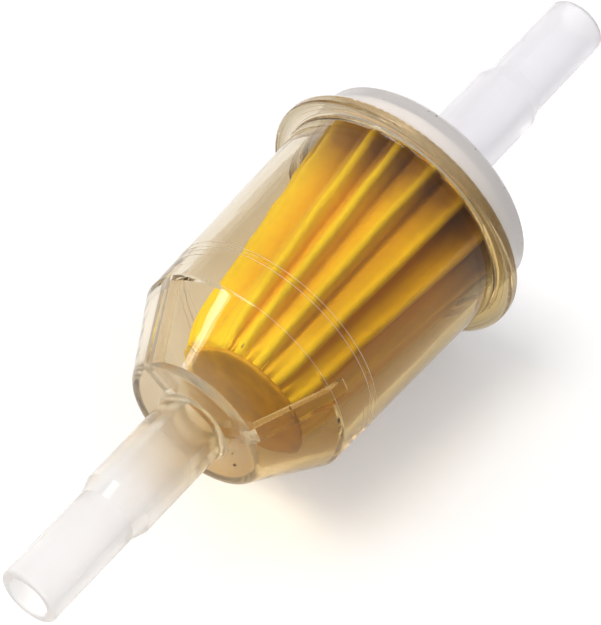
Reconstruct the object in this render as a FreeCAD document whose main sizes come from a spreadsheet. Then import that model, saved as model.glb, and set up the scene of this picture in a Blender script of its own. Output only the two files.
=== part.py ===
import FreeCAD
import Part
import Sketcher
import os

# In-line fuel filter with a clear two-step bowl, a pleated paper cone and a clear cover.
#
# Frame: the flow axis is X. Fuel runs from -X (inlet, on the bowl) to +X (outlet, on the cover).
# The origin is on the flow axis, half-way between the two stem tips, and +Z is up.
# Every outline below is drawn in (station, radius): the station is the distance along the
# flow axis from the inlet tip, and each body is then set back by half the overall length.

# Driving dimensions, in millimetres, degrees and counts.
SIZES = {
    # whole filter
    "overall_length": 112.3,
    "bore_radius": 2.7,
    # two-step hose stems, one at each end
    "small_stem_radius": 4.1,
    "inlet_small_length": 14.6,
    "outlet_small_length": 14.2,
    "stem_step_length": 2.2,
    "large_stem_radius": 4.8,
    "stem_tip_round": 0.45,
    "stem_root_round": 0.9,
    # bowl
    "wall": 1.4,
    "end_face_station": 31.1,
    "end_face_radius": 9.65,
    "end_face_round": 1.3,
    "shoulder_station": 41.1,
    "shoulder_radius": 15.5,
    "shoulder_round": 0.8,
    "ledge_station": 47.6,
    "ledge_height": 0.15,
    "mouth_station": 71.3,
    "mouth_radius": 16.4,
    # flange at the bowl's mouth
    "flange_radius": 18.8,
    "flange_thickness": 1.5,
    "flange_rim_round": 0.45,
    "flange_root_round": 0.6,
    "flange_line_inner": 17.5,
    "flange_line_outer": 18.1,
    "flange_line_depth": 0.2,
    # tongue and groove of the welded joint
    "groove_inner_radius": 15.5,
    "groove_outer_radius": 16.2,
    "groove_depth": 0.9,
    "tongue_clearance": 0.05,
    "tongue_length": 0.6,
    # cover
    "cap_depth": 5.35,
    "cap_wall": 1.55,
    "cap_end_wall": 1.45,
    "cap_edge_chamfer": 0.5,
    # ribs inside the bowl's nose
    "rib_count": 3,
    "rib_clock": 66.5,
    "rib_width": 2.0,
    "rib_height": 1.2,
    "rib_root": 0.4,
    "rib_start_radius": 3.9,
    "rib_end_station": 44.0,
    # pleated paper
    "pleat_count": 16,
    "paper_thickness": 0.4,
    "paper_front": 38.4,
    "paper_back": 75.6,
    "front_crest_radius": 9.6,
    "front_valley_radius": 7.6,
    "back_crest_radius": 14.3,
    "back_valley_radius": 11.2,
    # disc that closes the small end of the paper, and the glue behind it
    "disc_radius": 7.8,
    "disc_thickness": 0.7,
    "disc_round": 0.2,
    "plug_radius": 7.0,
    "plug_length": 0.8,
    # glue that bonds the paper into the cover
    "potting_inner_radius": 9.6,
    "potting_thickness": 1.9,
    "potting_clearance": 0.05,
    # glued lap where the two ends of the pleated sheet meet, inside one crest
    "seam_depth": 1.1,
    "seam_clearance": 0.03,
}

# Stations and radii that follow from the driving dimensions.
TIP = "0"
FAR_TIP = "sizes.overall_length"
STEP_END = "sizes.inlet_small_length + sizes.stem_step_length"
FLANGE_BACK = "sizes.mouth_station + sizes.flange_thickness"
CAP_FACE = f"{FLANGE_BACK} + sizes.cap_depth"
CAP_RADIUS = "sizes.groove_outer_radius - sizes.tongue_clearance"
CAP_INNER_RADIUS = f"{CAP_RADIUS} - sizes.cap_wall"
CAP_INNER_FACE = f"{CAP_FACE} - sizes.cap_end_wall"
MOUTH_INNER_RADIUS = "sizes.mouth_radius - sizes.wall"
NOSE_SLOPE = ("(sizes.shoulder_radius - sizes.end_face_radius)"
              " / (sizes.shoulder_station - sizes.end_face_station)")
NOSE_WALL = f"sizes.wall * sqrt(1 + ({NOSE_SLOPE}) ^ 2)"
INNER_END_FACE = "sizes.end_face_station + sizes.wall"
INNER_END_RADIUS = f"sizes.end_face_radius - {NOSE_WALL} + sizes.wall * {NOSE_SLOPE}"
INNER_SHOULDER_RADIUS = "sizes.shoulder_radius - sizes.wall"
INNER_SHOULDER = ("sizes.shoulder_station"
                  f" + ({NOSE_WALL} - sizes.wall) / ({NOSE_SLOPE})")
LEDGE_RADIUS = ("sizes.shoulder_radius - sizes.wall"
                " + (sizes.mouth_radius - sizes.shoulder_radius)"
                " * (sizes.ledge_station - sizes.shoulder_station)"
                " / (sizes.mouth_station - sizes.shoulder_station)")
HALF_PITCH = "180 deg / sizes.pleat_count"


def make_sheet(doc):
    """The spreadsheet that every sketch and feature reads its sizes from."""
    sheet = doc.addObject("Spreadsheet::Sheet", "sizes")
    for row, (alias, value) in enumerate(SIZES.items(), start=1):
        sheet.set(f"A{row}", alias)
        sheet.set(f"B{row}", str(value))
        sheet.setAlias(f"B{row}", alias)
    doc.recompute()
    return sheet


def make_body(doc, label, clock=None):
    """A body on the flow axis, turned about it by the sheet value that clock names."""
    body = doc.addObject("PartDesign::Body", label)
    body.Label = label
    body.setExpression("Placement.Base.x", "-sizes.overall_length / 2")
    if clock:
        body.Placement.Rotation = FreeCAD.Rotation(FreeCAD.Vector(1, 0, 0), 1)
        body.setExpression("Placement.Rotation.Angle", f"{clock} * 1 deg")
    return body


def origin_feature(body, role):
    """One of the body's own origin planes or axes, found by its role."""
    return next(f for f in body.Origin.OriginFeatures if f.Role == role)


def make_sketch(body, name, role, offset=None):
    """A sketch on one of the body's own origin planes, lifted off it by a formula if given."""
    sketch = body.newObject("Sketcher::SketchObject", name)
    sketch.AttachmentSupport = [(origin_feature(body, role), "")]
    sketch.MapMode = "FlatFace"
    if offset:
        sketch.setExpression("AttachmentOffset.Base.z", offset)
    return sketch


def bind(sketch, constraint, name, formula):
    """Add a driving constraint and tie its value to a formula."""
    index = sketch.addConstraint(constraint)
    sketch.renameConstraint(index, name)
    sketch.setExpression(f"Constraints.{name}", formula)


def value_of(sketch, formula):
    """What a formula comes to, in the document's own units."""
    value = sketch.evalExpression(formula)
    return float(getattr(value, "Value", value))


def draw_outline(sketch, points):
    """A closed outline of straight lines through (station, radius) formulas."""
    places = [FreeCAD.Vector(value_of(sketch, station), value_of(sketch, radius), 0)
              for station, radius in points]
    count = len(places)
    for i, place in enumerate(places):
        sketch.addGeometry(Part.LineSegment(place, places[(i + 1) % count]), False)
    for i in range(count):
        sketch.addConstraint(Sketcher.Constraint("Coincident", i, 2, (i + 1) % count, 1))
    for i, (station, radius) in enumerate(points):
        if station == TIP:
            sketch.addConstraint(Sketcher.Constraint("PointOnObject", i, 1, -2))
        else:
            across = Sketcher.Constraint("DistanceX", -1, 1, i, 1, places[i].x)
            bind(sketch, across, f"station_{i}", station)
        if radius == "0":
            sketch.addConstraint(Sketcher.Constraint("PointOnObject", i, 1, -1))
        else:
            up = Sketcher.Constraint("DistanceY", -1, 1, i, 1, places[i].y)
            bind(sketch, up, f"radius_{i}", radius)


def revolve(body, points):
    """Turn an outline a full circle about the flow axis."""
    sketch = make_sketch(body, f"{body.Label}_outline", "XZ_Plane")
    draw_outline(sketch, points)
    turned = body.newObject("PartDesign::Revolution", f"{body.Label}_turned")
    turned.Profile = sketch
    turned.ReferenceAxis = (sketch, ["H_Axis"])
    turned.Angle = 360
    sketch.Document.recompute()
    return turned


def circular_edges(feature, rings):
    """Names of the feature's round edges at the given (station, radius) formulas."""
    names = []
    for station, radius in rings:
        at = value_of(feature, station)
        size = value_of(feature, radius)
        matches = [f"Edge{i}" for i, edge in enumerate(feature.Shape.Edges, start=1)
                   if hasattr(edge.Curve, "Radius")
                   and abs(edge.Curve.Radius - size) < 0.01
                   and abs(edge.Curve.Center.x - at) < 0.01]
        if not matches:
            raise RuntimeError(f"{feature.Label}: no round edge at {at:.2f}, radius {size:.2f}")
        names += matches
    return names


def dress(body, kind, base, rings, size_property, alias):
    """Round or chamfer the named rings of a feature by a value from the sheet."""
    edges = circular_edges(base, rings)
    feature = body.newObject(kind, f"{body.Label}_{alias}")
    feature.Base = (base, edges)
    feature.setExpression(size_property, f"sizes.{alias}")
    body.Document.recompute()
    return feature


def round_edges(body, base, rings, alias):
    return dress(body, "PartDesign::Fillet", base, rings, "Radius", alias)


def polar_pattern(body, feature, count):
    """Repeat a feature evenly about the flow axis."""
    pattern = body.newObject("PartDesign::PolarPattern", f"{feature.Label}_pattern")
    pattern.Originals = [feature]
    pattern.Axis = (origin_feature(body, "X_Axis"), [""])
    pattern.Angle = 360
    pattern.setExpression("Occurrences", count)
    body.Tip = pattern
    body.Document.recompute()
    return pattern


def make_inlet_bowl(doc):
    """Clear bowl: inlet stem, flat end face, cone, drafted wall and the flange at its mouth."""
    body = make_body(doc, "inlet_bowl", clock="sizes.rib_clock")
    shell = revolve(body, [
        (TIP, "sizes.bore_radius"),
        (TIP, "sizes.small_stem_radius"),
        ("sizes.inlet_small_length", "sizes.small_stem_radius"),
        (STEP_END, "sizes.large_stem_radius"),
        ("sizes.end_face_station", "sizes.large_stem_radius"),
        ("sizes.end_face_station", "sizes.end_face_radius"),
        ("sizes.shoulder_station", "sizes.shoulder_radius"),
        ("sizes.mouth_station", "sizes.mouth_radius"),
        ("sizes.mouth_station", "sizes.flange_line_inner"),
        ("sizes.mouth_station + sizes.flange_line_depth", "sizes.flange_line_inner"),
        ("sizes.mouth_station + sizes.flange_line_depth", "sizes.flange_line_outer"),
        ("sizes.mouth_station", "sizes.flange_line_outer"),
        ("sizes.mouth_station", "sizes.flange_radius"),
        (FLANGE_BACK, "sizes.flange_radius"),
        (FLANGE_BACK, "sizes.groove_outer_radius"),
        (f"{FLANGE_BACK} - sizes.groove_depth", "sizes.groove_outer_radius"),
        (f"{FLANGE_BACK} - sizes.groove_depth", "sizes.groove_inner_radius"),
        (FLANGE_BACK, "sizes.groove_inner_radius"),
        (FLANGE_BACK, MOUTH_INNER_RADIUS),
        ("sizes.mouth_station", MOUTH_INNER_RADIUS),
        ("sizes.ledge_station", LEDGE_RADIUS),
        ("sizes.ledge_station", f"{LEDGE_RADIUS} - sizes.ledge_height"),
        (INNER_SHOULDER, INNER_SHOULDER_RADIUS),
        (INNER_END_FACE, INNER_END_RADIUS),
        (INNER_END_FACE, "sizes.bore_radius"),
    ])
    rounded = round_edges(body, shell, [(TIP, "sizes.small_stem_radius"),
                                        (TIP, "sizes.bore_radius")], "stem_tip_round")
    rounded = round_edges(body, rounded, [("sizes.end_face_station",
                                           "sizes.large_stem_radius")], "stem_root_round")
    rounded = round_edges(body, rounded, [("sizes.end_face_station",
                                           "sizes.end_face_radius")], "end_face_round")
    rounded = round_edges(body, rounded, [("sizes.shoulder_station",
                                           "sizes.shoulder_radius")], "shoulder_round")
    rounded = round_edges(body, rounded, [("sizes.mouth_station",
                                           "sizes.mouth_radius")], "flange_root_round")
    round_edges(body, rounded, [("sizes.mouth_station", "sizes.flange_radius"),
                                (FLANGE_BACK, "sizes.flange_radius")], "flange_rim_round")
    add_ribs(body)
    return body


def add_ribs(body):
    """Ribs along the inside of the cone and the end face, which hold the paper off the wall."""
    root_station = f"{INNER_END_FACE} - sizes.rib_root"
    top_station = f"{INNER_END_FACE} + sizes.rib_height"
    top_corner_radius = f"{INNER_END_RADIUS} - sizes.rib_height * ({NOSE_SLOPE})"
    root_radius = f"{INNER_SHOULDER_RADIUS} + sizes.rib_root"
    side = make_sketch(body, "rib_side", "XZ_Plane")
    draw_outline(side, [
        (root_station, "sizes.rib_start_radius"),
        (root_station, INNER_END_RADIUS),
        (INNER_SHOULDER, root_radius),
        ("sizes.rib_end_station", root_radius),
        ("sizes.rib_end_station", f"{INNER_SHOULDER_RADIUS} - sizes.ledge_height"),
        (INNER_SHOULDER, f"{INNER_SHOULDER_RADIUS} - sizes.rib_height"),
        (top_station, top_corner_radius),
        (top_station, "sizes.rib_start_radius + sizes.rib_height"),
    ])
    rib = body.newObject("PartDesign::Pad", "rib")
    rib.Profile = side
    rib.SideType = "Symmetric"
    rib.setExpression("Length", "sizes.rib_width")
    body.Document.recompute()
    polar_pattern(body, rib, "sizes.rib_count")


def make_outlet_cover(doc):
    """Clear cover: shallow cap with the weld tongue on its rim, and the outlet stem."""
    body = make_body(doc, "outlet_cover")
    far_step_end = f"{FAR_TIP} - sizes.outlet_small_length"
    far_step_start = f"{far_step_end} - sizes.stem_step_length"
    tongue_face = f"{FLANGE_BACK} - sizes.tongue_length"
    tongue_radius = "sizes.groove_inner_radius + sizes.tongue_clearance"
    shell = revolve(body, [
        (FLANGE_BACK, CAP_INNER_RADIUS),
        (FLANGE_BACK, tongue_radius),
        (tongue_face, tongue_radius),
        (tongue_face, CAP_RADIUS),
        (CAP_FACE, CAP_RADIUS),
        (CAP_FACE, "sizes.large_stem_radius"),
        (far_step_start, "sizes.large_stem_radius"),
        (far_step_end, "sizes.small_stem_radius"),
        (FAR_TIP, "sizes.small_stem_radius"),
        (FAR_TIP, "sizes.bore_radius"),
        (CAP_INNER_FACE, "sizes.bore_radius"),
        (CAP_INNER_FACE, CAP_INNER_RADIUS),
    ])
    rounded = round_edges(body, shell, [(FAR_TIP, "sizes.small_stem_radius"),
                                        (FAR_TIP, "sizes.bore_radius")], "stem_tip_round")
    rounded = round_edges(body, rounded, [(CAP_FACE,
                                           "sizes.large_stem_radius")], "stem_root_round")
    edge = circular_edges(rounded, [(CAP_FACE, CAP_RADIUS)])
    chamfer = body.newObject("PartDesign::Chamfer", "cap_edge_chamfer")
    chamfer.Base = (rounded, edge)
    chamfer.setExpression("Size", "sizes.cap_edge_chamfer")
    body.Document.recompute()
    return body


def make_weld_ring(doc):
    """Melted plastic at the bottom of the bowl's groove, under the cover's tongue."""
    body = make_body(doc, "weld_ring")
    groove_floor = f"{FLANGE_BACK} - sizes.groove_depth"
    tongue_face = f"{FLANGE_BACK} - sizes.tongue_length"
    revolve(body, [
        (groove_floor, "sizes.groove_inner_radius"),
        (groove_floor, "sizes.groove_outer_radius"),
        (tongue_face, "sizes.groove_outer_radius"),
        (tongue_face, "sizes.groove_inner_radius"),
    ])
    return body


def draw_pleat(sketch, crest, valley):
    """One pleat across the flow axis: a V of even thickness that spans one pitch.

    The V's own faces are parallel, one paper thickness apart, and its ends lie on the two
    radii half a pitch each side of the crest, where the next pleats join it.
    """
    side = value_of(sketch, f"{valley} * sin({HALF_PITCH})")
    height = value_of(sketch, f"{valley} * cos({HALF_PITCH})")
    top = value_of(sketch, crest)
    thickness = value_of(sketch, "sizes.paper_thickness")
    leg = (side ** 2 + (top - height) ** 2) ** 0.5
    inner_top = top - thickness * leg / side
    shrink = 1 - thickness * leg / (side * top)
    corners = [(-side, height), (0, top), (side, height),
               (side * shrink, height * shrink), (0, inner_top),
               (-side * shrink, height * shrink)]
    places = [FreeCAD.Vector(across, up, 0) for across, up in corners]
    count = len(places)
    for i in range(count):
        sketch.addGeometry(Part.LineSegment(places[i], places[(i + 1) % count]), False)
    for i in range(count):
        sketch.addConstraint(Sketcher.Constraint("Coincident", i, 2, (i + 1) % count, 1))
    sketch.addConstraint(Sketcher.Constraint("PointOnObject", 1, 1, -2))
    sketch.addConstraint(Sketcher.Constraint("PointOnObject", 4, 1, -2))
    sketch.addConstraint(Sketcher.Constraint("Symmetric", 0, 1, 2, 1, -2))
    sketch.addConstraint(Sketcher.Constraint("Symmetric", 5, 1, 3, 1, -2))
    sketch.addConstraint(Sketcher.Constraint("PointOnObject", -1, 1, 2))
    sketch.addConstraint(Sketcher.Constraint("Parallel", 1, 3))
    bind(sketch, Sketcher.Constraint("DistanceY", -1, 1, 1, 1, top), "crest", crest)
    bind(sketch, Sketcher.Constraint("DistanceX", -1, 1, 2, 1, side), "valley_side",
         f"{valley} * sin({HALF_PITCH})")
    bind(sketch, Sketcher.Constraint("DistanceY", -1, 1, 2, 1, height), "valley_height",
         f"{valley} * cos({HALF_PITCH})")
    bind(sketch, Sketcher.Constraint("Distance", 4, 1, 1, thickness), "thickness",
         "sizes.paper_thickness")


def loft(body, name, front, back):
    """A straight-sided solid between two sketches."""
    feature = body.newObject("PartDesign::AdditiveLoft", name)
    feature.Profile = front
    feature.Sections = [back]
    feature.Ruled = True
    body.Document.recompute()
    return feature


def make_filter_paper(doc):
    """Pleated paper cone: narrow and closed towards the inlet, wide and bonded at the cover."""
    body = make_body(doc, "filter_paper")
    front = make_sketch(body, "pleat_front", "YZ_Plane", "sizes.paper_front")
    draw_pleat(front, "sizes.front_crest_radius", "sizes.front_valley_radius")
    back = make_sketch(body, "pleat_back", "YZ_Plane", "sizes.paper_back")
    draw_pleat(back, "sizes.back_crest_radius", "sizes.back_valley_radius")
    doc.recompute()
    pleat = loft(body, "pleat", front, back)
    polar_pattern(body, pleat, "sizes.pleat_count")
    return body


def make_end_disc(doc):
    """Flat disc that closes the paper's small end and faces the inlet."""
    body = make_body(doc, "end_disc")
    front_face = "sizes.paper_front - sizes.disc_thickness"
    disc = revolve(body, [
        (front_face, "0"),
        (front_face, "sizes.disc_radius"),
        ("sizes.paper_front", "sizes.disc_radius"),
        ("sizes.paper_front", "0"),
    ])
    round_edges(body, disc, [(front_face, "sizes.disc_radius")], "disc_round")
    return body


def make_disc_glue(doc):
    """Cake of glue behind the disc, filling the end of the paper inside the pleats."""
    body = make_body(doc, "disc_glue")
    revolve(body, [
        ("sizes.paper_front", "0"),
        ("sizes.paper_front", "sizes.plug_radius"),
        ("sizes.paper_front + sizes.plug_length", "sizes.plug_radius"),
        ("sizes.paper_front + sizes.plug_length", "0"),
    ])
    return body


def make_potting_ring(doc, paper):
    """Ring of glue in the cap that the paper's wide end is set into, pleat by pleat."""
    outer_radius = f"{CAP_INNER_RADIUS} - sizes.potting_clearance"
    front_face = f"{CAP_INNER_FACE} - sizes.potting_thickness"
    blank = make_body(doc, "potting_blank")
    revolve(blank, [
        (front_face, "sizes.potting_inner_radius"),
        (front_face, outer_radius),
        (CAP_INNER_FACE, outer_radius),
        (CAP_INNER_FACE, "sizes.potting_inner_radius"),
    ])
    ring = doc.addObject("Part::Cut", "potting_ring")
    ring.Base = blank
    ring.Tool = paper
    ring.Label = "potting_ring"
    doc.recompute()
    return ring


def along_paper(front, back, station):
    """A radius of the paper cone at a station part of the way along it."""
    return (f"{front} + ({back} - {front}) * ({station} - sizes.paper_front)"
            " / (sizes.paper_back - sizes.paper_front)")


def draw_fold_glue(sketch, station):
    """The narrow triangle left inside one crest's fold, a little clear of the paper."""
    crest = along_paper("sizes.front_crest_radius", "sizes.back_crest_radius", station)
    valley = along_paper("sizes.front_valley_radius", "sizes.back_valley_radius", station)
    side = f"({valley}) * sin({HALF_PITCH})"
    drop = f"({crest} - ({valley}) * cos({HALF_PITCH}))"
    skin = "(sizes.paper_thickness + sizes.seam_clearance)"
    top = f"{crest} - {skin} * sqrt(1 + ({drop} / ({side})) ^ 2)"
    bottom = f"{top} - sizes.seam_depth"
    half_width = f"sizes.seam_depth * {side} / {drop}"
    top_now = value_of(sketch, top)
    bottom_now = value_of(sketch, bottom)
    half_now = value_of(sketch, half_width)
    places = [FreeCAD.Vector(0, top_now, 0), FreeCAD.Vector(half_now, bottom_now, 0),
              FreeCAD.Vector(-half_now, bottom_now, 0)]
    for i in range(3):
        sketch.addGeometry(Part.LineSegment(places[i], places[(i + 1) % 3]), False)
    for i in range(3):
        sketch.addConstraint(Sketcher.Constraint("Coincident", i, 2, (i + 1) % 3, 1))
    sketch.addConstraint(Sketcher.Constraint("PointOnObject", 0, 1, -2))
    sketch.addConstraint(Sketcher.Constraint("Symmetric", 1, 1, 2, 1, -2))
    bind(sketch, Sketcher.Constraint("DistanceY", -1, 1, 0, 1, top_now), "top", top)
    bind(sketch, Sketcher.Constraint("DistanceY", -1, 1, 1, 1, bottom_now), "bottom", bottom)
    bind(sketch, Sketcher.Constraint("DistanceX", -1, 1, 1, 1, half_now), "half_width",
         half_width)


def make_paper_seam(doc):
    """Glue line inside the crest nearest +Z, where the ends of the pleated sheet are lapped."""
    body = make_body(doc, "paper_seam")
    front_station = "(sizes.paper_front + sizes.plug_length)"
    back_station = f"({CAP_INNER_FACE} - sizes.potting_thickness)"
    front = make_sketch(body, "seam_front", "YZ_Plane", front_station)
    draw_fold_glue(front, front_station)
    back = make_sketch(body, "seam_back", "YZ_Plane", back_station)
    draw_fold_glue(back, back_station)
    doc.recompute()
    loft(body, "seam", front, back)
    return body


def check(doc, parts):
    """Stop before anything is written if an object failed or a shape is unusable."""
    for item in doc.Objects:
        if "Invalid" in item.State or "Error" in item.State:
            raise RuntimeError(f"{item.Label} did not recompute: {item.State}")
    for part in parts:
        if part.Shape.isNull() or not part.Shape.isValid():
            raise RuntimeError(f"{part.Label} has no valid shape")
        if len(part.Shape.Solids) != 1:
            raise RuntimeError(f"{part.Label} has {len(part.Shape.Solids)} solids")


def main():
    doc = FreeCAD.newDocument("fuel_filter")
    make_sheet(doc)
    paper = make_filter_paper(doc)
    parts = [
        make_inlet_bowl(doc),
        make_outlet_cover(doc),
        make_weld_ring(doc),
        paper,
        make_paper_seam(doc),
        make_end_disc(doc),
        make_disc_glue(doc),
        make_potting_ring(doc, paper),
    ]
    doc.recompute()
    check(doc, parts)
    os.makedirs("parts", exist_ok=True)
    for part in parts:
        part.Shape.exportStep(os.path.join("parts", f"{part.Label}.step"))
        box = part.Shape.BoundBox
        print(f"{part.Label}: {part.Shape.Volume:.1f} mm3, x {box.XMin:.2f} to {box.XMax:.2f},"
              f" y {box.YMin:.2f} to {box.YMax:.2f}, z {box.ZMin:.2f} to {box.ZMax:.2f}")


main()
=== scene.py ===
import math
import random

import bmesh
import bpy
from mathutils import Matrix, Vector, noise


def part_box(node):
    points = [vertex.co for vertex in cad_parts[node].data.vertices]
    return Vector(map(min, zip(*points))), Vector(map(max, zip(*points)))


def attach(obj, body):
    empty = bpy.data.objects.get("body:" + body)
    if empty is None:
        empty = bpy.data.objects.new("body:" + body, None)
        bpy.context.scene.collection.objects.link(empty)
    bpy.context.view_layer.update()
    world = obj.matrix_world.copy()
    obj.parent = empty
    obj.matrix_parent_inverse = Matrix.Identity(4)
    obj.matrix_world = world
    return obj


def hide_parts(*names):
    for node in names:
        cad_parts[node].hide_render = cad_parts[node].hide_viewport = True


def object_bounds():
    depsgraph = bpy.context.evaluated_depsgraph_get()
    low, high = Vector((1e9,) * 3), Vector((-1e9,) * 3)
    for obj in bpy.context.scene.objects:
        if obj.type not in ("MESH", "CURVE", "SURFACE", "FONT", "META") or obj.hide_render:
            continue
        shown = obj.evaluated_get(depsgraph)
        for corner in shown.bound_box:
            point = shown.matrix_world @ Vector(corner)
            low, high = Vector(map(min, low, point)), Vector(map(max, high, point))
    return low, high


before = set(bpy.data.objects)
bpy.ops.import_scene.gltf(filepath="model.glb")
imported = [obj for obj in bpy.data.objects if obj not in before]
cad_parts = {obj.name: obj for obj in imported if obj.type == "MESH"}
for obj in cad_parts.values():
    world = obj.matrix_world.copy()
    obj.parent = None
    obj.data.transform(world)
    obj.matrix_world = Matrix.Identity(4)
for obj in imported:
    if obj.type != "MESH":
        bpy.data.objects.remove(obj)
cad_low, cad_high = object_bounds()

MM = 0.001
paper_low, paper_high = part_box("filter_paper")
disc_low, disc_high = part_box("end_disc")
weld_low, weld_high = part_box("weld_ring")

# The direction round the flow axis that faces the camera, from +Y towards +Z, and the
# one a quarter turn on from it. Both are fixed to the object.
FACING = math.radians(114.2)
TO_VIEWER = Vector((0, math.cos(FACING), math.sin(FACING)))
TO_RIGHT = Vector((0, math.cos(FACING + math.pi / 2), math.sin(FACING + math.pi / 2)))


# ---------------------------------------------------------------- materials

def new_material(name):
    """An empty node material: (material, its node tree, its output node)."""
    material = bpy.data.materials.new(name)
    material.use_nodes = True
    tree = material.node_tree
    tree.nodes.clear()
    output = tree.nodes.new("ShaderNodeOutputMaterial")
    return material, tree, output


def noise_node(tree, scale, detail=3.0, roughness=0.5, stretch=None):
    """Noise in object space, `scale` features to the metre, maybe stretched."""
    place = tree.nodes.new("ShaderNodeTexCoord")
    source = place.outputs["Object"]
    if stretch:
        mapping = tree.nodes.new("ShaderNodeMapping")
        mapping.inputs["Scale"].default_value = stretch
        tree.links.new(source, mapping.inputs["Vector"])
        source = mapping.outputs["Vector"]
    texture = tree.nodes.new("ShaderNodeTexNoise")
    texture.inputs["Scale"].default_value = scale
    texture.inputs["Detail"].default_value = detail
    texture.inputs["Roughness"].default_value = roughness
    tree.links.new(source, texture.inputs["Vector"])
    return texture.outputs["Fac"]


def ramp(tree, value, stops):
    """A colour ramp over `value`: stops are (place, colour)."""
    node = tree.nodes.new("ShaderNodeValToRGB")
    tree.links.new(value, node.inputs["Fac"])
    elements = node.color_ramp.elements
    while len(elements) < len(stops):
        elements.new(0.5)
    for element, (place, colour) in zip(elements, stops):
        element.position = place
        element.color = (*colour, 1)
    return node.outputs["Color"]


def math_node(tree, operation, *values):
    """One sum on values, each a number or another node's output."""
    node = tree.nodes.new("ShaderNodeMath")
    node.operation = operation
    for socket, value in zip(node.inputs, values):
        if isinstance(value, (int, float)):
            socket.default_value = value
        else:
            tree.links.new(value, socket)
    return node.outputs[0]


def along_axis(tree):
    """The place along the flow axis, in millimetres from mid-length."""
    place = tree.nodes.new("ShaderNodeTexCoord")
    split = tree.nodes.new("ShaderNodeSeparateXYZ")
    tree.links.new(place.outputs["Object"], split.inputs[0])
    return math_node(tree, "MULTIPLY", split.outputs["X"], 1 / MM)


def radius_from_axis(tree):
    """The distance from the flow axis, in millimetres."""
    place = tree.nodes.new("ShaderNodeTexCoord")
    split = tree.nodes.new("ShaderNodeSeparateXYZ")
    tree.links.new(place.outputs["Object"], split.inputs[0])
    y = math_node(tree, "MULTIPLY", split.outputs["Y"], split.outputs["Y"])
    z = math_node(tree, "MULTIPLY", split.outputs["Z"], split.outputs["Z"])
    radius = math_node(tree, "SQRT", math_node(tree, "ADD", y, z))
    return math_node(tree, "MULTIPLY", radius, 1 / MM)


def span(tree, value, low, high):
    """value mapped so that low is 0 and high is 1, clamped."""
    node = tree.nodes.new("ShaderNodeMapRange")
    node.inputs["From Min"].default_value = low
    node.inputs["From Max"].default_value = high
    tree.links.new(value, node.inputs["Value"])
    return node.outputs["Result"]


def colour_mix(tree, factor, first, second):
    """first where factor is 0 and second where it is 1."""
    node = tree.nodes.new("ShaderNodeMix")
    node.data_type = "RGBA"
    sockets = [socket for socket in node.inputs if socket.enabled]
    for socket, value in zip(sockets, (factor, first, second)):
        if isinstance(value, (int, float)):
            socket.default_value = value
        elif isinstance(value, tuple):
            socket.default_value = (*value, 1)
        else:
            tree.links.new(value, socket)
    return [socket for socket in node.outputs if socket.enabled][0]


def bump(tree, height, strength, distance):
    """A normal that follows height, `distance` metres deep."""
    node = tree.nodes.new("ShaderNodeBump")
    node.inputs["Strength"].default_value = strength
    node.inputs["Distance"].default_value = distance
    tree.links.new(height, node.inputs["Height"])
    return node.outputs["Normal"]


# Where the bowl's plastic changes, in millimetres: across the side painted amber as shade, and
# along the flow axis or out from it for the others, each from none of it to all of it.
SHADE_SIDE_SPAN = (-5.0, 13.0)
ROOT_START, ROOT_END = (-30.0, -26.5), (-24.2, -24.9)
CONE_START, CONE_END = (-24.5, -21.0), (-11.0, -15.5)
RIM_SPAN = (16.7, 18.3)

AMBER_SHADE_AMOUNT = 0.9                      # how far the side's painted amber shade goes to its colour
AMBER_SHADE_TINT = (0.66, 0.46, 0.14)
# painted light: the paler tint of the cone on the side away from TO_RIGHT
CONE_LIGHT_TINT = (0.93, 0.86, 0.73)
RIM_TINT = (0.50, 0.415, 0.27)
CLOUD_TINT = (0.78, 0.70, 0.60)

PLASTIC_IOR = 1.36               # lower than a real plastic's, chosen for its look
PLASTIC_SPECULAR = 0.28


def side_of_axis(tree):
    """0 to one side of the flow axis and 1 to the other, towards TO_RIGHT, by how many
    millimetres a place lies to that side."""
    place = tree.nodes.new("ShaderNodeTexCoord")
    dot = tree.nodes.new("ShaderNodeVectorMath")
    dot.operation = "DOT_PRODUCT"
    tree.links.new(place.outputs["Object"], dot.inputs[0])
    dot.inputs[1].default_value = TO_RIGHT
    return span(tree, math_node(tree, "MULTIPLY", dot.outputs["Value"], 1 / MM), *SHADE_SIDE_SPAN)


def stretch_of_axis(tree, start, end):
    """1 between two places along the flow axis, fading to 0 over start and over end."""
    return math_node(tree, "MULTIPLY", span(tree, along_axis(tree), *start),
                     span(tree, along_axis(tree), *end))


def hazier_root(tree, rough):
    """rough, with more haze where the stem meets the bowl's end face."""
    return math_node(tree, "MULTIPLY_ADD", stretch_of_axis(tree, ROOT_START, ROOT_END), 0.12, rough)


def bowl_tint(tree, tint, blend):
    """tint, with painted amber shade on one side, painted light making the other side of the
    cone paler, and the flange's rim darker."""
    # Painted shade: amber towards TO_RIGHT, for the shadow and the paper's yellow light seen through the
    # wall.
    side = math_node(tree, "MULTIPLY", side_of_axis(tree), blend)
    tint = colour_mix(tree, math_node(tree, "MULTIPLY", side, AMBER_SHADE_AMOUNT), tint, AMBER_SHADE_TINT)
    # Painted light: the cone is paler on the side away from TO_RIGHT, for the lit floor seen through it.
    cone = math_node(tree, "MULTIPLY", stretch_of_axis(tree, CONE_START, CONE_END),
                     math_node(tree, "SUBTRACT", 1.0, side_of_axis(tree)))
    tint = colour_mix(tree, math_node(tree, "MULTIPLY", cone, 0.7), tint, CONE_LIGHT_TINT)
    rim = span(tree, radius_from_axis(tree), *RIM_SPAN)
    return colour_mix(tree, math_node(tree, "MULTIPLY", rim, 0.9), tint, RIM_TINT)


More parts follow.
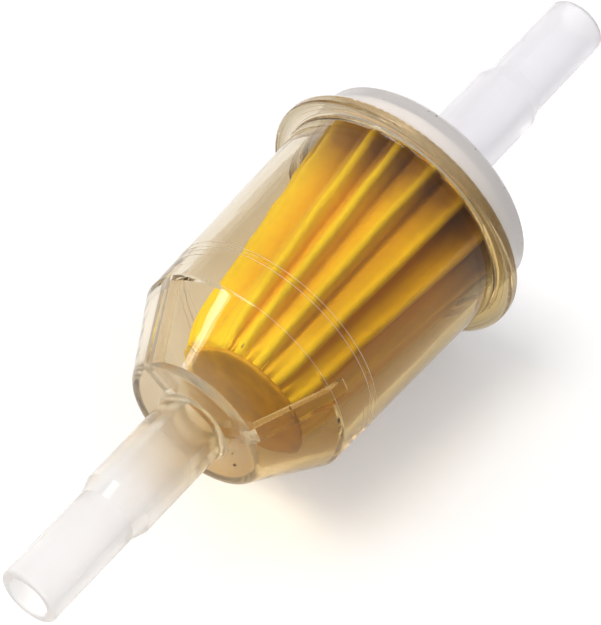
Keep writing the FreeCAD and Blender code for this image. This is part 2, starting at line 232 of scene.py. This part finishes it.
def clear_plastic(name, near, far, tint_change, haze_change, shadow_tint, soaks_up, bowl=False):
    """Clear moulded plastic. near and far are (tint, clearness, roughness): the tint goes
    from one to the other over tint_change, and the rest over haze_change, each two places
    along the flow axis. Lamp light passes to what it holds, coloured by shadow_tint.
    soaks_up is (colour, density) of what the plastic's depth absorbs, and bowl adds what
    only the bowl shows."""
    near_tint, near_clear, near_rough = near
    far_tint, far_clear, far_rough = far
    material, tree, output = new_material(name)
    glass = tree.nodes.new("ShaderNodeBsdfPrincipled")
    glass.inputs["IOR"].default_value = PLASTIC_IOR
    glass.inputs["Specular IOR Level"].default_value = PLASTIC_SPECULAR
    blend = span(tree, along_axis(tree), *tint_change)
    clearing = span(tree, along_axis(tree), *haze_change)
    clearness = math_node(tree, "MULTIPLY_ADD", clearing, far_clear - near_clear, near_clear)
    tree.links.new(clearness, glass.inputs["Transmission Weight"])
    rough = math_node(tree, "MULTIPLY_ADD", clearing, far_rough - near_rough, near_rough)
    cloud = noise_node(tree, 160, 2.0)
    tint = colour_mix(tree, blend, near_tint, far_tint)
    tint = colour_mix(tree, math_node(tree, "MULTIPLY", cloud, 0.12), tint, CLOUD_TINT)
    if bowl:
        rough = hazier_root(tree, rough)
        tint = bowl_tint(tree, tint, blend)
    tree.links.new(rough, glass.inputs["Roughness"])
    tree.links.new(tint, glass.inputs["Base Color"])
    waves = noise_node(tree, 260, 2.0, 0.5, (0.35, 1, 1))
    tree.links.new(bump(tree, waves, 0.12, 0.0004), glass.inputs["Normal"])
    clear = tree.nodes.new("ShaderNodeBsdfTransparent")
    clear.inputs["Color"].default_value = (*shadow_tint, 1)
    path = tree.nodes.new("ShaderNodeLightPath")
    mix = tree.nodes.new("ShaderNodeMixShader")
    tree.links.new(path.outputs["Is Shadow Ray"], mix.inputs[0])
    tree.links.new(glass.outputs[0], mix.inputs[1])
    tree.links.new(clear.outputs[0], mix.inputs[2])
    tree.links.new(mix.outputs[0], output.inputs["Surface"])
    depth_colour, density = soaks_up
    depth = tree.nodes.new("ShaderNodeVolumeAbsorption")
    depth.inputs["Color"].default_value = (*depth_colour, 1)
    depth.inputs["Density"].default_value = density
    tree.links.new(depth.outputs[0], output.inputs["Volume"])
    return material


def paper_material():
    """Resin-treated filter paper: lemon on the folds' crests, darker in the valleys as painted
    shade, darker brown towards the large end and less so on the crests, with fine fibres and mottling."""
    material, tree, output = new_material("pleated_paper")
    shader = tree.nodes.new("ShaderNodeBsdfPrincipled")
    shader.inputs["Roughness"].default_value = 0.72
    shader.inputs["Specular IOR Level"].default_value = 0.25
    shader.inputs["Sheen Weight"].default_value = 0.08
    depth = tree.nodes.new("ShaderNodeAttribute")
    depth.attribute_name = "crest"
    # Painted shade: the colour goes from lemon on the crests to orange-brown in the valleys.
    base = ramp(tree, depth.outputs["Fac"], [(0.0, (0.65, 0.31, 0.003)), (0.5, (0.86, 0.53, 0.004)),
                                            (0.85, (0.91, 0.68, 0.006)), (1.0, (0.92, 0.77, 0.010))])
    mottle = noise_node(tree, 900, 4.0, 0.65)
    base = colour_mix(tree, math_node(tree, "MULTIPLY", mottle, 0.42), base, (0.64, 0.28, 0.006))
    fibres = noise_node(tree, 2600, 3.0, 0.7, (0.35, 1, 1))
    base = colour_mix(tree, math_node(tree, "MULTIPLY", fibres, 0.32), base, (0.99, 0.82, 0.03))
    # Darker brown over the last millimetres towards the large end, less so on the crests, with an edge made
    # ragged by the mottling.
    x = along_axis(tree)
    large_end_brown = span(tree, math_node(tree, "ADD", x, math_node(tree, "MULTIPLY", mottle, 1.2)),
                  6.5, 15.4)
    large_end_brown = math_node(tree, "POWER", large_end_brown, 1.5)
    keep = math_node(tree, "MULTIPLY_ADD", math_node(tree, "POWER", depth.outputs["Fac"], 6.0), -0.42, 0.95)
    base = colour_mix(tree, math_node(tree, "MULTIPLY", large_end_brown, keep), base, (0.21, 0.095, 0.003))
    tree.links.new(base, shader.inputs["Base Color"])
    height = math_node(tree, "ADD", math_node(tree, "MULTIPLY", fibres, 0.6), mottle)
    tree.links.new(bump(tree, height, 0.35, 0.00012), shader.inputs["Normal"])
    tree.links.new(shader.outputs[0], output.inputs["Surface"])
    return material


def board_material():
    """Resin-soaked board: mustard, matt, with darker blotches and pits."""
    material, tree, output = new_material("soaked_board")
    shader = tree.nodes.new("ShaderNodeBsdfPrincipled")
    shader.inputs["Roughness"].default_value = 0.62
    shader.inputs["Specular IOR Level"].default_value = 0.35
    blotch = noise_node(tree, 420, 4.0, 0.6)
    grain = noise_node(tree, 3200, 3.0, 0.7)
    base = ramp(tree, blotch, [(0.3, (0.56, 0.315, 0.003)), (0.55, (0.71, 0.415, 0.004)),
                               (0.75, (0.80, 0.485, 0.006))])
    base = colour_mix(tree, math_node(tree, "MULTIPLY", grain, 0.3), base, (0.22, 0.09, 0.01))
    tree.links.new(base, shader.inputs["Base Color"])
    tree.links.new(bump(tree, grain, 0.4, 0.00015), shader.inputs["Normal"])
    tree.links.new(shader.outputs[0], output.inputs["Surface"])
    return material


def glue_material(name, light, dark, clearness=0.0):
    """Set glue or remelted plastic, cloudy, with a slightly uneven gloss."""
    material, tree, output = new_material(name)
    shader = tree.nodes.new("ShaderNodeBsdfPrincipled")
    shader.inputs["Transmission Weight"].default_value = clearness
    cloud = noise_node(tree, 500, 3.0, 0.6)
    tree.links.new(ramp(tree, cloud, [(0.3, dark), (0.7, light)]), shader.inputs["Base Color"])
    rough = math_node(tree, "ADD", math_node(tree, "MULTIPLY", cloud, 0.25), 0.22)
    tree.links.new(rough, shader.inputs["Roughness"])
    tree.links.new(bump(tree, cloud, 0.3, 0.0003), shader.inputs["Normal"])
    tree.links.new(shader.outputs[0], output.inputs["Surface"])
    return material


def floor_material():
    """White, with a little light of its own, so that the clear stems stand out on it."""
    material, tree, output = new_material("floor_white")
    shader = tree.nodes.new("ShaderNodeBsdfPrincipled")
    shader.inputs["Roughness"].default_value = 0.9
    shader.inputs["Specular IOR Level"].default_value = 0.0
    shader.inputs["Base Color"].default_value = (0.72, 0.72, 0.72, 1)
    shader.inputs["Emission Color"].default_value = (1, 1, 1, 1)
    shader.inputs["Emission Strength"].default_value = 0.32
    tree.links.new(shader.outputs[0], output.inputs["Surface"])
    return material


def dress_node(node, material):
    """Gives a CAD node, which keeps its own mesh, its material."""
    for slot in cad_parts[node].material_slots:
        slot.material = material


# ---------------------------------------------------------------- pieces

# The bowl's outside, from the CAD's stations: the wall runs from shoulder to mouth.
END_FACE_X = -25.05 * MM
SHOULDER_X, SHOULDER_R = -15.05 * MM, 15.5 * MM
MOUTH_X, MOUTH_R = 15.15 * MM, 16.4 * MM
COVER_EDGE_X, COVER_EDGE_R = 21.5 * MM, 16.1 * MM
FLANGE_RIM_R = 18.75 * MM


def add_piece(name, mesh, material, node=None):
    """A new smooth piece of the body, which stands for a CAD node if it names one."""
    piece = bpy.data.objects.new(name, mesh)
    bpy.context.scene.collection.objects.link(piece)
    mesh.materials.append(material)
    for face in mesh.polygons:
        face.use_smooth = True
    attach(piece, "root")
    if node:
        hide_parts(node)
    return piece


PLEATS = 16
PAPER = 0.4 * MM                 # thickness of the paper
CREST = (9.9 * MM, 14.28 * MM)   # crest radius at the small and the large end
VALLEY = (8.3 * MM, 11.8 * MM)
PINCH = 1.3 * MM                 # how far the last of each fold draws in at the small end
FOLD = 0.62 * MM                 # half width of a fold's outside
LEAN = math.radians(-6.5)        # how far the valleys towards TO_RIGHT lie to one side
OFF_CENTRE = 1.3 * MM            # how far the small end is pushed towards TO_RIGHT
# How far the folds on the camera's side stray from even spacing, in degrees, at the
# small end and at the large end.
STRAY = {-4: (2, 0), -3: (-7.5, -2.5), -2: (10, 5), -1: (1, -0.6), 0: (-3.5, -0.9),
         1: (-5, -0.2), 2: (-6, 1), 3: (-8, 4.5), 4: (-5, 3)}


def fold_angles(t, strays):
    """The crest angles round the axis at t, from 0 at the small end to 1 at the large."""
    angles = []
    for index in range(PLEATS):
        low, high = strays[index]
        angle = FACING + math.radians(-1.7) + (index - 5) * math.tau / PLEATS
        angles.append(angle + math.radians(low + (high - low) * t))
    return angles


def paper_ring(t, strays, ripples):
    """One section of the pleated cone: [(y, z, crest-ness)], outside surface."""
    crest = CREST[0] + (CREST[1] - CREST[0]) * t - PINCH * max(0.0, 1 - t / 0.16) ** 2
    valley = VALLEY[0] + (VALLEY[1] - VALLEY[0]) * t
    centre = TO_RIGHT * OFF_CENTRE * (1 - t)
    angles = fold_angles(t, strays)
    ring = []

    def put(radius, angle, depth):
        ring.append((centre.y + radius * math.cos(angle), centre.z + radius * math.sin(angle), depth))

    for index in range(PLEATS):
        here = angles[index]
        after = angles[(index + 1) % PLEATS] + (math.tau if index == PLEATS - 1 else 0)
        before = angles[index - 1] - (math.tau if index == 0 else 0)
        rise = ripples[index]
        top = crest - rise * (0.35 + 0.65 * t)
        bend = 0.28 * MM * math.sin(math.pi * t) * noise.noise(Vector((index * 3.1, t * 1.7, 5)))
        # Round the crest: a half circle of the fold's half width.
        for step in range(7):
            turn = math.radians(-90 + 30 * step)
            radius = top - FOLD + FOLD * math.cos(turn)
            aside = FOLD * math.sin(turn) + bend
            ring.append((centre.y + radius * math.cos(here) - aside * math.sin(here),
                         centre.z + radius * math.sin(here) + aside * math.cos(here),
                         0.8 + 0.2 * math.cos(turn)))
        # Down the face, round the valley, and up the next fold's face.
        lean = LEAN * (0.5 + 0.5 * math.cos(here - FACING - math.pi / 2))
        low_angle = (here + after) / 2 + lean
        half = 0.35 * MM / valley
        for step in range(1, 4):
            share = step / 4
            radius = top - FOLD + (valley + FOLD * 0.6 - top + FOLD) * share
            angle = here + FOLD / max(radius, 1e-6) * (1 - share) + (low_angle - half - here) * share
            put(radius, angle, 0.8 * (1 - share))
        for step in range(5):
            turn = math.pi * step / 4
            put(valley + 0.3 * MM - 0.3 * MM * math.sin(turn), low_angle - half * math.cos(turn), 0.0)
        for step in range(1, 4):
            share = 1 - step / 4
            radius = top - FOLD + (valley + FOLD * 0.6 - top + FOLD) * share
            angle = after - FOLD / max(radius, 1e-6) * (1 - share) + (low_angle + half - after) * share
            put(radius, angle, 0.8 * (1 - share))
    return ring


def uneven_folds():
    """How far each fold strays, in degrees at its two ends, and how low its crest is."""
    rng = random.Random(7)
    strays = []
    ripples = []
    for index in range(PLEATS):
        side = index - 5
        strays.append(STRAY.get(side, (rng.uniform(-4, 4), rng.uniform(-2.5, 2.5))))
        ripples.append(rng.uniform(0.0, 0.35) * MM)
    return strays, ripples


STRAYS, RIPPLES = uneven_folds()


def make_paper():
    rows = 60
    mesh = bpy.data.meshes.new("pleated_paper")
    vertices, depths, faces = [], [], []
    for row in range(rows + 1):
        t = row / rows
        x = paper_low.x + (paper_high.x - paper_low.x) * t
        for y, z, depth in paper_ring(t, STRAYS, RIPPLES):
            shift = 0.09 * MM * noise.noise(Vector((x / (6 * MM), y / (3 * MM), z / (3 * MM))))
            vertices.append((x, y + shift, z + shift))
            # The painted valley shade is weaker towards the small end.
            depths.append(1 - (1 - depth) * (0.35 + 0.65 * t))
    count = len(vertices) // (rows + 1)
    # The small end is pinched shut behind the disc.
    middle = len(vertices)
    vertices.append((paper_low.x + 0.15 * MM, TO_RIGHT.y * OFF_CENTRE, TO_RIGHT.z * OFF_CENTRE))
    depths.append(0.2)
    for step in range(count):
        faces.append((middle, (step + 1) % count, step))
    for row in range(rows):
        for step in range(count):
            a = row * count + step
            b = row * count + (step + 1) % count
            faces.append((a, b, b + count, a + count))
    mesh.from_pydata(vertices, [], faces)
    mesh.validate()
    layer = mesh.attributes.new("crest", "FLOAT", "POINT")
    for point, depth in zip(layer.data, depths):
        point.value = depth
    piece = add_piece("pleated_paper", mesh, paper_material(), "filter_paper")
    solid = piece.modifiers.new("thickness", "SOLIDIFY")
    solid.thickness = PAPER * 0.75
    solid.offset = -1
    solid.use_rim = True


def round_board(name, x_front, x_back, radius, centre, ragged, seed):
    """A round slab with a ragged outline, a rounded rim and a slightly uneven face."""
    segments, rings = 128, 12
    bm = bmesh.new()

    def edge(angle):
        wave = noise.noise(Vector((math.cos(angle) * 2.4, math.sin(angle) * 2.4, seed)))
        fine = noise.noise(Vector((math.cos(angle) * 7, math.sin(angle) * 7, seed + 4.8)))
        return radius + (0.30 * wave + 0.14 * fine) * ragged

    # Shares of the radius and of the thickness, from the middle of the front face round
    # the rim to the back.
    profile = [(ring / rings * 0.97, 0.0) for ring in range(1, rings + 1)]
    profile += [(0.99, 0.12), (1.0, 0.35), (1.0, 0.7), (0.985, 0.95), (0.9, 1.0), (0.6, 1.0), (0.3, 1.0)]
    loops = []
    for share, depth in profile:
        loop = []
        for step in range(segments):
            angle = math.tau * step / segments
            reach = edge(angle) * share
            y, z = reach * math.cos(angle), reach * math.sin(angle)
            dish = 0.05 * MM * noise.noise(Vector((y, z, seed * MM)) / (2 * MM)) if depth < 0.5 else 0
            loop.append(bm.verts.new((x_front + depth * (x_back - x_front) + dish,
                                      centre.y + y, centre.z + z)))
        loops.append(loop)
    for first, second in zip(loops, loops[1:]):
        for step in range(segments):
            after = (step + 1) % segments
            bm.faces.new((first[step], first[after], second[after], second[step]))
    for loop, x in ((loops[0], x_front), (loops[-1], x_back)):
        middle = bm.verts.new((x, centre.y, centre.z))
        for step in range(segments):
            bm.faces.new((middle, loop[step], loop[(step + 1) % segments]))
    return finished_mesh(name, bm)


def finished_mesh(name, bm):
    """A mesh from bm, with its faces turned outwards."""
    bmesh.ops.recalc_face_normals(bm, faces=bm.faces)
    mesh = bpy.data.meshes.new(name)
    bm.to_mesh(mesh)
    bm.free()
    return mesh


def make_disc():
    """The board disc that closes the small end, pushed off centre. Its edge runs 0.05 mm
    into the bowl's rib nearest to TO_RIGHT."""
    radius = 8.45 * MM
    centre = TO_RIGHT * 2.6 * MM + TO_VIEWER * 1.0 * MM
    mesh = round_board("end_disc_board", disc_low.x + 0.06 * MM, disc_high.x,
                       radius, centre, ragged=MM, seed=3.3)
    add_piece("end_disc_board", mesh, board_material(), "end_disc")


GLUE_CORE_R = 6.6 * MM           # the glue behind the disc, and the hole in the potting


def make_disc_glue():
    """The cake of glue behind the disc, inside the end of the paper."""
    low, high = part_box("disc_glue")
    mesh = round_board("disc_glue_cake", low.x + 0.2 * MM, high.x,
                       GLUE_CORE_R, TO_RIGHT * OFF_CENTRE, ragged=0.4 * MM, seed=6.1)
    glue = glue_material("amber_glue", (0.55, 0.36, 0.08), (0.40, 0.24, 0.05))
    add_piece("disc_glue_cake", mesh, glue, "disc_glue")


def make_lap():
    """The glued lap of the paper's two ends, inside the crest of one fold."""
    rows, sides = 40, 10
    fold = 4
    low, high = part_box("paper_seam")
    bm = bmesh.new()
    loops = []
    for row in range(rows + 1):
        x = low.x + (high.x - low.x) * row / rows
        t = (x - paper_low.x) / (paper_high.x - paper_low.x)
        angle = fold_angles(t, STRAYS)[fold]
        top = CREST[0] + (CREST[1] - CREST[0]) * t - RIPPLES[fold] * (0.35 + 0.65 * t) - 0.75 * MM
        centre = TO_RIGHT * OFF_CENTRE * (1 - t)
        outward = Vector((0, math.cos(angle), math.sin(angle)))
        across = Vector((0, -math.sin(angle), math.cos(angle)))
        half = 0.13 * MM * (1 + 0.2 * noise.noise(Vector((x / (2 * MM), 0, 2))))
        loop = []
        for turn in range(sides):
            around = math.tau * turn / sides
            point = (centre + outward * (top - 0.3 * MM + 0.3 * MM * math.cos(around))
                     + across * half * math.sin(around))
            loop.append(bm.verts.new((x, point.y, point.z)))
        loops.append(loop)
    for first, second in zip(loops, loops[1:]):
        for turn in range(sides):
            after = (turn + 1) % sides
            bm.faces.new((first[turn], first[after], second[after], second[turn]))
    bm.faces.new(loops[0])
    bm.faces.new(loops[-1])
    glue = glue_material("lap_glue", (0.62, 0.42, 0.09), (0.46, 0.28, 0.06))
    add_piece("glued_lap", finished_mesh("glued_lap", bm), glue, "paper_seam")


def turn_out(mesh):
    """Turns the faces of a closed mesh outwards."""
    bm = bmesh.new()
    bm.from_mesh(mesh)
    bmesh.ops.recalc_face_normals(bm, faces=bm.faces)
    bm.to_mesh(mesh)
    bm.free()


def swept_mesh(name, sections):
    """A closed ring through sections, each the same number of (x, y, z) points."""
    count = len(sections[0])
    faces = []
    for step in range(len(sections)):
        after = (step + 1) % len(sections)
        for index in range(count):
            other = (index + 1) % count
            faces.append((step * count + index, step * count + other,
                          after * count + other, after * count + index))
    mesh = bpy.data.meshes.new(name)
    mesh.from_pydata([point for section in sections for point in section], [], faces)
    turn_out(mesh)
    return mesh


SEGMENTS = 256                   # steps round a ring or a mould line


def ring_mesh(name, x0, x1, r0, r1, waver, seed):
    """A closed ring of rectangular section with an uneven surface."""
    divisions = 4
    corners = [(x0, r1), (x1, r1), (x1, r0), (x0, r0)]
    outline = []
    for (xa, ra), (xb, rb) in zip(corners, corners[1:] + corners[:1]):
        for part in range(divisions):
            outline.append((xa + (xb - xa) * part / divisions, ra + (rb - ra) * part / divisions))
    mid_x, mid_r = (x0 + x1) / 2, (r0 + r1) / 2
    sections = []
    for step in range(SEGMENTS):
        angle = math.tau * step / SEGMENTS
        section = []
        for index, (x, r) in enumerate(outline):
            place = Vector((math.cos(angle) * 5, math.sin(angle) * 5, seed + index * 0.3))
            wave = 1 - waver * (0.5 + 0.5 * noise.noise(place))
            radius = mid_r + (r - mid_r) * wave
            section.append((mid_x + (x - mid_x) * wave, radius * math.cos(angle), radius * math.sin(angle)))
        sections.append(section)
    return swept_mesh(name, sections)


def make_weld():
    """The bead of remelted plastic in the flange's groove."""
    gap = 0.02 * MM
    groove_r = 15.5 * MM
    mesh = ring_mesh("weld_bead", weld_low.x + gap, weld_high.x - gap, groove_r + gap,
                     weld_high.y - gap, 0.18, 4)
    plastic = glue_material("weld_bead", (0.80, 0.74, 0.64), (0.66, 0.58, 0.46))
    add_piece("weld_bead", mesh, plastic, "weld_ring")


def make_potting():
    """The cream glue in the cap, which the paper's wide end is set into."""
    low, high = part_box("potting_ring")
    mesh = ring_mesh("potting_cake", low.x, high.x - 0.03 * MM, GLUE_CORE_R, high.y - 0.05 * MM, 0.03, 9)
    glue = glue_material("potting", (0.93, 0.88, 0.85), (0.86, 0.79, 0.74))
    add_piece("potting_cake", mesh, glue, "potting_ring")


def mould_line(name, x, width, plastic):
    """A fine raised line round the bowl's wall, left by the mould: round in section, half
    sunk in the wall, and a little uneven."""
    radius = wall_radius(x)
    points = 7
    sections = []
    for step in range(SEGMENTS):
        angle = math.tau * step / SEGMENTS
        swell = 1 + 0.35 * noise.noise(Vector((math.cos(angle) * 9, math.sin(angle) * 9, x * 900)))
        section = []
        for turn in range(points):
            around = math.tau * turn / points
            r = radius + width * 0.35 * swell * math.cos(around)
            section.append((x + width * 0.5 * swell * math.sin(around),
                            r * math.cos(angle), r * math.sin(angle)))
        sections.append(section)
    add_piece(name, swept_mesh(name, sections), plastic)


def wall_radius(x):
    """The outside radius of the bowl's wall between shoulder and mouth, at x."""
    share = (x - SHOULDER_X) / (MOUTH_X - SHOULDER_X)
    return SHOULDER_R + (MOUTH_R - SHOULDER_R) * share


def make_specks():
    """Dark specks and bits of flash caught on the plastic."""
    rng = random.Random(11)
    bm = bmesh.new()

    def speck(x, radius, angle, size):
        place = Vector((x, radius * math.cos(angle), radius * math.sin(angle)))
        ball = bmesh.ops.create_icosphere(bm, subdivisions=2, radius=size)["verts"]
        spin = Vector((rng.uniform(-1, 1), rng.uniform(-1, 1), rng.uniform(-1, 1))).normalized()
        for vertex in ball:
            bumpy = 1 + 0.45 * noise.noise(vertex.co / size + place * 3000)
            vertex.co = vertex.co * bumpy
            vertex.co -= spin * vertex.co.dot(spin) * 0.55
            vertex.co += place

    for _ in range(5):           # on the end face
        speck(END_FACE_X - 0.02 * MM, rng.uniform(5.6, 8.6) * MM,
              rng.uniform(0, math.tau), rng.uniform(0.10, 0.22) * MM)
    for _ in range(26):          # on the cap's edge
        speck(COVER_EDGE_X - rng.uniform(0.0, 0.5) * MM, COVER_EDGE_R,
              rng.uniform(0, math.tau), rng.uniform(0.06, 0.14) * MM)
    for _ in range(14):          # on the cap's side
        speck(rng.uniform(16.9, 21.4) * MM, COVER_EDGE_R,
              rng.uniform(0, math.tau), rng.uniform(0.05, 0.12) * MM)
    for _ in range(12):          # on the flange's rim
        speck(rng.uniform(15.3, 16.5) * MM, FLANGE_RIM_R,
              rng.uniform(0, math.tau), rng.uniform(0.05, 0.12) * MM)
    mesh = bpy.data.meshes.new("specks")
    bm.to_mesh(mesh)
    bm.free()
    grime = glue_material("speck_grime", (0.20, 0.11, 0.06), (0.07, 0.035, 0.02))
    add_piece("specks", mesh, grime)


# ---------------------------------------------------------------- camera, light and floor

def add_object(name, data):
    """A new object in the scene that isn't a piece of the part."""
    thing = bpy.data.objects.new(name, data)
    bpy.context.scene.collection.objects.link(thing)
    return thing


def make_camera():
    """A long lens that looks down at the filter from the inlet's side."""
    back = Vector((-0.46947, -0.36204, 0.80529)).normalized()
    right = Vector((0, 0, 1)).cross(back).normalized()
    up = back.cross(right)
    distance = 460.4 * MM
    target = Vector((-2.85 * MM, 0, 0)) - right * 0.45 * MM - up * 0.37 * MM
    data = bpy.data.cameras.new("camera")
    data.sensor_width = 36
    data.lens = 213.1
    data.clip_start = 0.01
    data.clip_end = 20
    camera = add_object("camera", data)
    camera.location = target + back * distance
    camera.rotation_mode = "QUATERNION"
    camera.rotation_quaternion = (-back).to_track_quat("-Z", "Y")
    bpy.context.scene.camera = camera


def make_floor():
    """A wide white floor that the flange rests on."""
    half = 6.0
    z = cad_low.z
    mesh = bpy.data.meshes.new("floor")
    mesh.from_pydata([(-half, -half, z), (half, -half, z), (half, half, z), (-half, half, z)],
                     [], [(0, 1, 2, 3)])
    floor = add_object("floor", mesh)
    floor.data.materials.append(floor_material())


def make_sun(name, energy, angle, direction, colour=(1.0, 1.0, 1.0)):
    """A sun that shines along direction and is `angle` degrees wide."""
    data = bpy.data.lights.new(name, "SUN")
    data.energy = energy
    data.angle = math.radians(angle)
    data.color = colour
    sun = add_object(name, data)
    sun.rotation_mode = "QUATERNION"
    sun.rotation_quaternion = Vector(direction).to_track_quat("-Z", "Y")


def make_sky():
    """A soft even studio all round, a little brighter above."""
    world = bpy.data.worlds.new("studio")
    world.use_nodes = True
    tree = world.node_tree
    background = tree.nodes["Background"]
    place = tree.nodes.new("ShaderNodeTexCoord")
    split = tree.nodes.new("ShaderNodeSeparateXYZ")
    tree.links.new(place.outputs["Generated"], split.inputs[0])
    sky = ramp(tree, split.outputs["Z"], [(0.0, (0.66, 0.64, 0.62)), (0.3, (0.70, 0.69, 0.68)),
                                          (0.9, (0.80, 0.80, 0.82))])
    tree.links.new(sky, background.inputs["Color"])
    background.inputs["Strength"].default_value = 0.78
    bpy.context.scene.world = world


def make_light():
    """A broad key sun from above, a small one for the streak on the wall, and the sky."""
    make_sky()
    make_sun("key", 1.45, 24, (0.12, -0.35, -0.93), (1.0, 0.985, 0.95))
    make_sun("kicker", 0.13, 7, (0.41, -0.62, -0.67))
    scene = bpy.context.scene
    scene.view_settings.view_transform = "Standard"
    # Enough bounces for light to cross the nested clear walls without turning black.
    scene.cycles.max_bounces = 64
    scene.cycles.transmission_bounces = 64
    scene.cycles.glossy_bounces = 64
    scene.cycles.transparent_max_bounces = 48
    scene.cycles.diffuse_bounces = 5


# The mould lines: each one's place along the flow axis and its width, in millimetres.
MOULD_LINES = ((-8.8, 0.07), (-9.7, 0.07), (-15.0, 0.05))

make_camera()
# Painted highlight: the raised mould lines are pale cream and half cloudy, for the glint along them.
line_plastic_and_glint = glue_material("mould_line", (0.95, 0.90, 0.76), (0.88, 0.80, 0.62), 0.5)
make_paper()
make_disc()
make_weld()
make_potting()
dress_node("inlet_bowl", clear_plastic(
    "bowl_plastic",
    near=((0.965, 0.965, 0.99), 0.64, 0.19), far=((0.79, 0.70, 0.545), 1.0, 0.02),
    tint_change=(-38.0, -26.0), haze_change=(-33.0, -21.5),
    shadow_tint=(0.95, 0.93, 0.89), soaks_up=((0.88, 0.76, 0.48), 22.0), bowl=True))
dress_node("outlet_cover", clear_plastic(
    "cover_plastic",
    near=((0.87, 0.845, 0.83), 0.5, 0.14), far=((0.94, 0.935, 0.97), 0.62, 0.18),
    tint_change=(21.0, 23.0), haze_change=(21.0, 23.0),
    shadow_tint=(0.93, 0.93, 0.93), soaks_up=((0.72, 0.70, 0.74), 30.0)))
for line, (x, width) in enumerate(MOULD_LINES):
    mould_line(f"mould_line_{line + 1}", x * MM, width * MM, line_plastic_and_glint)
make_specks()
make_disc_glue()
make_lap()
make_floor()
make_light()
